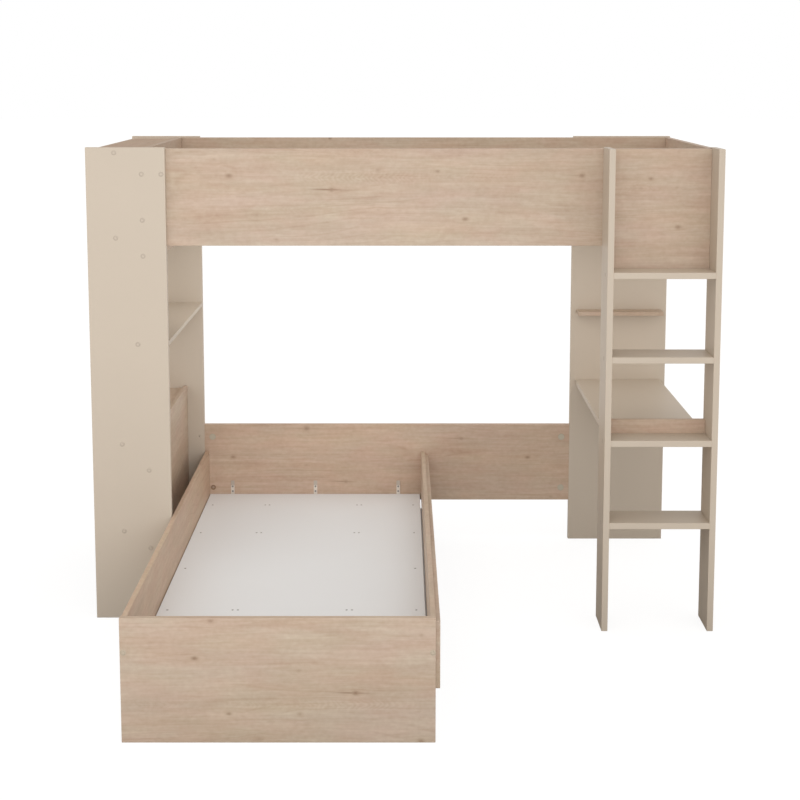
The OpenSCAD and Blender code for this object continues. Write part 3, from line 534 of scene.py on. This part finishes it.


# Printed boards: grain order and seed; knots that show, as along, across, size, strength and streak;
# scaly patches, as along, across, half length, half height and strength, and the way they bow; the
# share of cells with a scattered knot; and a shading tint, a per-board colour scale that paints light
# and shade: darker and warmer on boards in shade, lighter on front-lit ones
printedBoards = {
    "upper_front_board": {"order": "XZY", "seed": 1.0, "bowed": -1.0, "knots": [
        (-0.6143, 1.6282, 0.0066, 0.70, 0.15), (-0.2501, 1.5784, 0.0066, 0.74, 0.90),
        (-0.0834, 1.6490, 0.0050, 0.30, 0.0), (-0.0834, 1.5064, 0.0045, 0.22, 0.0),
        (-0.5170, 1.4870, 0.0045, 0.22, 0.1), (-0.4476, 1.3996, 0.0050, 0.38, 0.0),
        (0.1294, 1.6442, 0.0052, 0.60, 0.0), (0.6442, 1.6285, 0.0066, 0.75, 0.3),
        (0.2285, 1.4731, 0.0064, 0.78, 0.0), (-0.6655, 1.6855, 0.0050, 0.28, 0.0)],
        "scaly": [(-0.15, 1.6216, 0.25, 0.020, 1.0), (0.27, 1.6230, 0.13, 0.014, 0.5),
                  (-0.12, 1.7120, 0.09, 0.012, 0.5), (-0.40, 1.5080, 0.10, 0.012, 0.4)]},
    "upper_back_board": {"order": "XZY", "seed": 2.0, "share": 0.35, "shadingTint": (0.95, 0.94, 0.92)},
    "upper_end_left": {"order": "YZX", "seed": 3.0, "share": 0.35},
    "upper_end_right": {"order": "YZX", "seed": 4.0, "share": 0.35},
    "ladder_guard_board": {"order": "XZY", "seed": 5.0, "shadingTint": (1.03, 1.03, 1.03), "knots": [
        (0.8840, 1.6201, 0.0050, 0.65, 0.0), (0.9843, 1.4483, 0.0068, 0.66, 0.0),
        (0.8466, 1.5860, 0.0050, 0.25, 0.15), (0.9774, 1.5890, 0.0045, 0.22, 0.0)],
        "scaly": [(0.86, 1.5860, 0.10, 0.014, 0.5)]},
    "desk_lip": {"order": "XZY", "seed": 6.0, "streaky": 1.6, "shadingTint": (1.0, 0.965, 0.955)},
    "desk_wall_shelf": {"order": "XYZ", "seed": 7.0},
    "unit_top_board": {"order": "YXZ", "seed": 8.0, "share": 0.3, "shadingTint": (0.95, 0.89, 0.84)},
    "unit_cupboard_top": {"order": "YXZ", "seed": 9.0, "share": 0.3},
    "unit_cupboard_side": {"order": "YZX", "seed": 10.0, "share": 0.3},
    "low_front_board": {"order": "XZY", "seed": 11.0, "shadingTint": (1.045, 1.055, 1.06), "knots": [
        (-0.5671, 0.3789, 0.0052, 0.60, 0.0), (-0.6173, 0.2636, 0.0056, 0.90, 0.0),
        (-0.5167, 0.0907, 0.0048, 0.70, 0.0), (-0.4253, 0.0107, 0.0060, 0.25, 0.0),
        (-0.1377, 0.1556, 0.0060, 0.95, 0.80), (-0.3055, 0.2258, 0.0048, 0.32, 0.1),
        (-0.3055, 0.0902, 0.0052, 0.38, 0.0), (0.0588, 0.3353, 0.0048, 0.32, 0.0),
        (0.0588, 0.0048, 0.0060, 0.65, 0.0)],
        "scaly": [(-0.14, 0.1180, 0.18, 0.017, 1.0), (-0.73, 0.1180, 0.08, 0.015, 0.6),
                  (-0.44, 0.1180, 0.08, 0.014, 0.6)]},
    "low_back_board": {"order": "XZY", "seed": 12.0, "shadingTint": (1.035, 0.995, 0.975), "knots": [
        (-0.4026, 0.4851, 0.0085, 0.70, 0.3), (-0.7193, 0.3608, 0.0062, 0.70, 0.0),
        (-0.4060, 0.3256, 0.0050, 0.30, 0.0), (-0.2364, 0.2527, 0.0055, 0.60, 0.6),
        (0.2563, 0.4406, 0.0060, 0.65, 0.4), (0.5412, 0.3596, 0.0060, 0.80, 0.0),
        (0.6417, 0.1862, 0.0050, 0.35, 0.0)]},
    "low_rail_left": {"order": "YZX", "seed": 13.0, "shadingTint": (1.055, 1.01, 0.97)},
    "low_rail_right": {"order": "YZX", "seed": 14.0},
    "low_side_board": {"order": "YZX", "seed": 15.0},
}
for node, board in printedBoards.items():
    dress(node, woodMaterial(node + "_decor", printedWood, board["seed"], boardCorners(node), board))

beigeBoards = ["left_front_panel", "left_back_panel", "unit_upper_shelf", "unit_bedside_shelf",
               "unit_lower_shelf", "ladder_stile_left", "ladder_stile_right", "ladder_step_1",
               "ladder_step_2", "ladder_step_3", "ladder_step_4", "desk_back_panel", "desktop"]
whiteBoards = ["upper_base_left", "upper_base_right", "low_base", "low_ledge_left", "low_ledge_right",
               *(f"low_support_{i}" for i in range(1, 6))]
for names, prefix, look, firstSeed, step in ((beigeBoards, "beige_", coatedBeige, 0.0, 1.7),
                                             (whiteBoards, "white_", coatedWhite, 30.0, 1.3)):
    for number, node in enumerate(names):
        dress(node, coatedMaterial(prefix + node, look, firstSeed + step * number, boardCorners(node)))

pineBoards = {"upper_batten_front": "XZY", "upper_batten_back": "XZY", "upper_beam_1": "YZX",
              "upper_beam_2": "YZX", "upper_beam_3": "YZX"}
for number, (node, order) in enumerate(pineBoards.items()):
    dress(node, woodMaterial("pine_" + node, rawPine, 20.0 + number, boardCorners(node),
                             {"order": order, "share": 0.35}))
print("boards dressed")

cams = {"radius": 0.011, "rim": (0.0035, 0.0060)}       # the drum, and where its rim begins
bracketShadeStart = (0.024, 0.016)      # below the brackets' tops, where their darker second colour, a painted shade, begins


def onShadedRim(tree, place):
    # the turned pieces carry how near to its rim each point is; there the darker second colour paints a
    # shadow ring
    return addNode(tree, "ShaderNodeAttribute", attribute_name="rim").outputs["Fac"]


def onCamRim(tree, place):
    # the cams sit in the four corners of their common box, so the distance from the nearest
    # one's axis is measured after folding the place over the box's middle
    x, _, z = split(tree, place)
    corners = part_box("cam_locks")
    away = []
    for axis, value in ((0, x), (2, z)):
        low, high = corners[0][axis], corners[1][axis]
        fold = calc(tree, "ABSOLUTE", minus(tree, value, (low + high) / 2))
        away.append(squared(tree, minus(tree, fold, (high - low) / 2 - cams["radius"])))
    return ramp(tree, calc(tree, "SQRT", plus(tree, *away)), *cams["rim"])


def bracketTopShade(tree, place):
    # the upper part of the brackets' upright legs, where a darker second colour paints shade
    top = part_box("base_brackets")[1][2]
    return ramp(tree, split(tree, place)[2], *(top - down for down in bracketShadeStart))


zincSteel = smallPartMaterial("zinc_steel", (0.62, 0.62, 0.60), 0.34, 1.0, (1.0, 1.0, 0.15))
screwSteel = smallPartMaterial("screw_steel", (0.30, 0.29, 0.28), 0.45, 1.0)
# the brackets' darker second colour on their upper legs is painted shade
bracketSteel = smallPartMaterial("bracket_steel", (0.73, 0.67, 0.60), 0.32, 1.0, (1.0, 1.0, 0.1),
                                 second=(0.52, 0.46, 0.40), mask=bracketTopShade)
camZinc = smallPartMaterial("cam_zinc", (0.47, 0.35, 0.27), 0.50, 0.6,
                            second=(0.31, 0.20, 0.13), mask=onCamRim)
# the plastics' darker second colours sit on the caps' and covers' rims: painted shade round their edges
beigePlastic = smallPartMaterial("beige_plastic", (0.560, 0.480, 0.392), 0.42, contrast=0.05,
                                 second=(0.485, 0.412, 0.333), mask=onShadedRim)
woodPlastic = smallPartMaterial("wood_tone_plastic", (0.525, 0.445, 0.345), 0.42, contrast=0.06,
                                second=(0.490, 0.410, 0.310), mask=onShadedRim)
coverPlastic = smallPartMaterial("cover_plastic", (0.495, 0.450, 0.350), 0.42, contrast=0.05,
                                 second=(0.470, 0.425, 0.330), mask=onShadedRim)
dowelWood = smallPartMaterial("dowel_wood", (0.60, 0.43, 0.26), 0.62, brushed=(1.0, 0.1, 1.0),
                              contrast=0.3)
for material, names in ((zincSteel, ("connecting_screws", "short_screws", "cam_bolts")),
                        (screwSteel, ("bracket_screws", "wood_screws", "side_board_screws")),
                        (bracketSteel, ("base_brackets",)), (camZinc, ("cam_locks",)),
                        (dowelWood, ("wood_dowels",))):
    for node in names:
        dress(node, material)
print("fittings dressed")

# Caps and covers are turned pieces that stand for the CAD's plain ones

sharpFrom = 50.0    # degrees; an edge of a turned piece that bends more than this stays sharp


def solidPoints(node):
    # the separate solids of a node: points at the same place get one number, every point takes the
    # lowest number of its triangles until nothing changes, and each number left is one solid
    mesh = nodes[node].data
    points = np.empty(len(mesh.vertices) * 3)
    mesh.vertices.foreach_get("co", points)
    points = points.reshape(-1, 3)
    corners = np.empty(len(mesh.loops), int)
    mesh.loops.foreach_get("vertex_index", corners)
    same = np.unique(np.round(points, 6), axis=0, return_inverse=True)[1].ravel()
    triangles = same[corners].reshape(-1, 3)
    label = np.arange(same.max() + 1)
    while True:
        lowest = label[triangles].min(axis=1)
        new = label.copy()
        for column in range(3):
            np.minimum.at(new, triangles[:, column], lowest)
        if (new == label).all():
            break
        label = new
    owner = label[same]
    return [points[owner == number] for number in np.unique(owner)]


def turnedPieces(name, spots, profile, material, sides):
    # a profile of (radius, height, rim) turned round the axis of each spot: the point at angle t is
    # centre + radius cos t along a + radius sin t along b + height along the axis, and rim goes to the
    # material, where it marks the painted shadow ring
    radius, height, rim = np.array(profile, float).T[:, :, None]
    angles = np.linspace(0, 2 * np.pi, sides, endpoint=False)
    ring, side = np.meshgrid(np.arange(len(profile) - 1), np.arange(sides), indexing="ij")
    nextSide = (side + 1) % sides
    quads = np.stack([ring * sides + side, ring * sides + nextSide,
                      (ring + 1) * sides + nextSide, (ring + 1) * sides + side], axis=-1).reshape(-1, 4)
    first = np.arange(sides)
    points, faces, offset = [], [], 0
    for centre, axis in spots:
        axis = np.array(axis, float)
        a = np.array((axis[1], axis[2], axis[0]))   # any direction square to an axis along X, Y or Z
        b = np.cross(axis, a)
        points.append((centre + radius[..., None] * np.cos(angles)[None, :, None] * a
                       + radius[..., None] * np.sin(angles)[None, :, None] * b
                       + (height * np.ones(sides))[..., None] * axis).reshape(-1, 3))
        faces += (quads + offset).tolist()
        faces.append((first[::-1] + offset).tolist())
        faces.append((first + offset + (len(profile) - 1) * sides).tolist())
        offset += len(profile) * sides
    mesh = bpy.data.meshes.new(name)
    mesh.from_pydata(np.concatenate(points).tolist(), [], faces)
    mesh.shade_smooth()
    mesh.set_sharp_from_angle(angle=np.radians(sharpFrom))
    mesh.materials.append(material)
    mesh.attributes.new("rim", "FLOAT", "POINT").data.foreach_set(
        "value", np.tile(np.repeat(rim, sides), len(spots)))
    piece = bpy.data.objects.new(name, mesh)
    bpy.context.scene.collection.objects.link(piece)
    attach(piece, "root")
    return piece


def capSpots(node, proud):
    # centre on the board's face and outward axis of each cap, and a cap's widest radius; the
    # plug's end is far narrower than the cap's outer face, which is narrower than its widest part
    spots = []
    nearEnd, narrow = 1e-5, 0.5
    for solid in solidPoints(node):
        low, high = solid.min(axis=0), solid.max(axis=0)
        thin = int(np.argmin(high - low))
        others = [i for i in range(3) if i != thin]
        middle = (low + high) / 2

        def reach(points):
            return np.hypot(*(points[:, others] - middle[others]).T).max()

        widest = reach(solid)
        atLow = reach(solid[solid[:, thin] < low[thin] + nearEnd])
        atHigh = reach(solid[solid[:, thin] > high[thin] - nearEnd])
        outHigh = atHigh > narrow * widest and not (atLow > narrow * widest and atLow < atHigh)
        axis = np.zeros(3)
        axis[thin] = 1.0 if outHigh else -1.0
        centre = middle.copy()
        centre[thin] = (high if outHigh else low)[thin] - proud * axis[thin]
        spots.append((centre, axis))
    return spots, widest


cap = {"proud": 0.0012, "plug": 0.0019, "plugDepth": 0.0014, "lip": 0.0016, "lipHeight": 0.00012,
       "sides": 40}
for node, material, slotName in (("screw_caps_beige", beigePlastic, "beige_plastic"),
                                 ("screw_caps_wood", woodPlastic, "wood_tone_plastic")):
    spots, wide = capSpots(node, cap["proud"])
    lip, plug, deep = wide + cap["lip"], cap["plug"], -cap["plugDepth"]
    # plug; thin flange, as real caps have, whose darker colour paints a shadow ring round the cap;
    # domed rim, its outer slope also darkened as painted shade; flat middle
    capProfile = [(0.0004, deep, 0.0), (plug - 0.0003, deep, 0.0), (plug, deep + 0.0003, 0.0),
                  (plug, 0.0, 0.0), (lip, 0.0, 1.0), (lip, cap["lipHeight"], 1.0),
                  (wide, 0.0002, 1.0), (wide - 0.0003, 0.0006, 1.0), (wide - 0.0009, 0.0010, 1.0),
                  (wide - 0.0017, 0.0012, 1.0), (wide - 0.0026, 0.0012, 1.0),
                  (wide - 0.0036, 0.0011, 0.7), (wide - 0.0046, 0.00095, 0.3),
                  (wide - 0.0054, 0.0009, 0.0), (0.0004, 0.0009, 0.0)]
    caps = turnedPieces(node + "_turned", spots, capProfile, material, cap["sides"])
    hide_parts(node)

coverSpots, coverSides = [], 48
for solid in solidPoints("cam_covers"):
    low, high = solid.min(axis=0), solid.max(axis=0)
    middle = (low + high) / 2
    coverSpots.append((np.array((middle[0], high[1], middle[2])), (0.0, -1.0, 0.0)))
wide, proud = (high[0] - low[0]) / 2, high[1] - low[1]
# flat back, rounded rim in a darker colour that paints shade, shallow dish
coverProfile = [(0.0004, 0.0, 0.0), (wide - 0.0002, 0.0, 1.0), (wide, 0.0002, 1.0),
                (wide, proud - 0.0005, 1.0), (wide - 0.0004, proud - 0.0001, 1.0),
                (wide - 0.0010, proud, 1.0), (wide - 0.0018, proud - 0.00005, 1.0),
                (wide - 0.0022, proud - 0.00025, 0.6), (wide - 0.0030, proud - 0.0003, 0.0),
                (0.0015, proud - 0.00022, 0.0), (0.0004, proud - 0.0002, 0.0)]
covers = turnedPieces("cam_covers_turned", coverSpots, coverProfile, coverPlastic,
                      coverSides)
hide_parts("cam_covers")
print("caps and covers turned")

# Floor and sky. The camera sees a pale floor and white round it, and the bed is lit by a warm sky.

room = {
    "warm": (1.0, 0.967, 0.930), "sky": 0.762,      # the sky that lights the bed
    "front": 0.50, "frontAim": (0.0, -0.97, 0.24),  # brighter towards the front
    "rear": 0.34, "top": 0.09,                      # duller towards the rear, brighter overhead
    "reach": 60.0, "cells": 8,                      # half the floor's side, and its cells each way
    "floorSeen": 1.15, "floorShare": 0.75, "floorPale": 0.85, "floorDark": 0.36, "floorGlow": 1.15,
    "clearFrom": 0.3, "clearTo": 1.05,              # distances from the bed where its shade ends
}


def floorGrid(reach, cells):
    # the point at u and v, each from -1 to 1, is (reach x u, reach x v, 0)
    x, y = np.meshgrid(np.linspace(-reach, reach, cells + 1), np.linspace(-reach, reach, cells + 1))
    row, column = np.meshgrid(np.arange(cells), np.arange(cells), indexing="ij")
    corner = (row * (cells + 1) + column).ravel()
    return (np.stack([x, y, np.zeros_like(x)], axis=-1).reshape(-1, 3),
            np.stack([corner, corner + 1, corner + cells + 2, corner + cells + 1], axis=-1))


def distanceToBox(tree, place, low, high):
    # length of what is left of |place - middle| past half the box, in plan
    middle = ((low[0] + high[0]) / 2, (low[1] + high[1]) / 2, 0.0)
    half = ((high[0] - low[0]) / 2, (high[1] - low[1]) / 2, 1.0)
    away = vectorCalc(tree, "ABSOLUTE", vectorCalc(tree, "SUBTRACT", place, middle))
    past = vectorCalc(tree, "MAXIMUM", vectorCalc(tree, "SUBTRACT", away, half), (0.0, 0.0, 0.0))
    return vectorCalc(tree, "LENGTH", past)


def paleFloor():
    # the bed is lit as on a bright floor that its own shade keeps dull close by
    material = bpy.data.materials.new("paleFloor")
    material.use_nodes = True
    tree = material.node_tree
    tree.nodes.clear()
    ray = addNode(tree, "ShaderNodeLightPath").outputs["Is Camera Ray"]
    place = addNode(tree, "ShaderNodeTexCoord").outputs["Object"]
    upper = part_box("left_front_panel")[0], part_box("desk_back_panel")[1]
    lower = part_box("low_front_board")[0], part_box("low_side_board")[1]
    away = calc(tree, "MINIMUM", distanceToBox(tree, place, *upper), distanceToBox(tree, place, *lower))
    clear = ramp(tree, away, room["clearFrom"], room["clearTo"])
    matt = addNode(tree, "ShaderNodeBsdfDiffuse")
    feed(tree, matt.inputs["Color"], blendColour(
        tree, ray, rgb((room["floorDark"],) * 3), rgb((room["floorPale"],) * 3)))
    glow = addNode(tree, "ShaderNodeEmission")
    feed(tree, glow.inputs["Color"], blendColour(tree, ray, rgb(room["warm"]), rgb((1.0, 1.0, 1.0))))
    feed(tree, glow.inputs["Strength"], ramp(
        tree, ray, 0.0, 1.0, room["sky"] * room["floorGlow"], room["floorSeen"]))
    share = plus(tree, times(tree, ray, room["floorShare"]), times(tree, minus(tree, 1.0, ray), clear))
    feed(tree, addNode(tree, "ShaderNodeOutputMaterial").inputs[0],
         mixShader(tree, share, matt.outputs[0], glow.outputs[0]))
    return material


def studioSky():
    world = bpy.data.worlds.new("studio")
    world.use_nodes = True
    tree = world.node_tree
    tree.nodes.clear()
    seen = addNode(tree, "ShaderNodeBackground")
    seen.inputs["Color"].default_value = rgb((1.0, 1.0, 1.0))
    soft = addNode(tree, "ShaderNodeBackground")
    soft.inputs["Color"].default_value = rgb(room["warm"])
    direction = addNode(tree, "ShaderNodeTexCoord").outputs["Generated"]
    _, back, up = split(tree, direction)
    towards = vectorCalc(tree, "DOT_PRODUCT", direction, room["frontAim"])
    lobe = squared(tree, larger(tree, towards, 0.0))
    sky = plus(tree, times(tree, squared(tree, up), room["top"]), room["sky"])
    sky = timesPlus(tree, lobe, room["front"], sky)
    feed(tree, soft.inputs["Strength"], timesPlus(tree, larger(tree, back, 0.0), -room["rear"], sky))
    ray = addNode(tree, "ShaderNodeLightPath").outputs["Is Camera Ray"]
    feed(tree, addNode(tree, "ShaderNodeOutputWorld").inputs[0],
         mixShader(tree, ray, soft.outputs[0], seen.outputs[0]))
    return world


floorPoints, floorFaces = floorGrid(room["reach"], room["cells"])
floorMesh = bpy.data.meshes.new("floor")
floorMesh.from_pydata(floorPoints.tolist(), [], floorFaces.tolist())
floorMesh.materials.append(paleFloor())
floor = bpy.data.objects.new("floor", floorMesh)
bpy.context.scene.collection.objects.link(floor)
bpy.context.scene.world = studioSky()
print("floor and sky made")

# Soft lamps; the two small ones stand for the light that the white room throws under the upper bed
lamps = {
    "frontLamp": {"place": (0.0, -5.4, 1.9), "aim": (-1.1, 0.0, 1.2), "size": (2.5, 2.5),
                  "spread": 70.0, "watts": 12.0, "colour": (0.93, 1.0, 1.08)},
    "lowFill": {"place": (-0.1, 0.66, 1.34), "aim": (-0.1, 0.6601, 0.0), "size": (1.5, 0.6),
                "spread": 180.0, "watts": 2.6, "colour": (1.0, 0.98, 0.95)},
    "deskFill": {"place": (0.86, 0.45, 1.22), "aim": (0.88, 1.0, 1.12), "size": (0.4, 0.3),
                 "spread": 180.0, "watts": 0.27, "colour": (1.0, 0.98, 0.95)},
    "backLamp": {"place": (2.6, 5.4, 2.6), "aim": (0.0, 0.6, 0.9), "size": (3.5, 3.5),
                 "spread": 180.0, "watts": 20.0, "colour": (1.0, 1.0, 1.0)},
}
for name, lamp in lamps.items():
    data = bpy.data.lights.new(name, "AREA")
    data.shape = "RECTANGLE"
    data.size, data.size_y = lamp["size"]
    data.energy = lamp["watts"]
    data.spread = np.radians(lamp["spread"])
    data.color = lamp["colour"]
    holder = bpy.data.objects.new(name, data)
    holder.location = lamp["place"]
    towards = Vector(lamp["aim"]) - Vector(lamp["place"])
    holder.rotation_euler = towards.to_track_quat("-Z", "Y").to_euler()
    holder.visible_camera = False
    bpy.context.scene.collection.objects.link(holder)

# The camera looks straight back and a little down; the shift keeps the bed in the frame
view = {"place": (-0.0047, -5.4265, 1.9943), "down": 7.396, "lens": 69.273, "sensor": 36.0,
        "shift": -0.16, "farthest": 200.0}
cameraData = bpy.data.cameras.new("camera")
cameraData.sensor_width = view["sensor"]
cameraData.lens = view["lens"]
cameraData.shift_y = view["shift"]
cameraData.clip_end = view["farthest"]
camera = bpy.data.objects.new("camera", cameraData)
camera.location = view["place"]
camera.rotation_euler = (np.radians(90.0 - view["down"]), 0.0, 0.0)
bpy.context.scene.collection.objects.link(camera)
bpy.context.scene.camera = camera
bpy.context.scene.view_settings.view_transform = "Standard"
print("lamps and camera set")
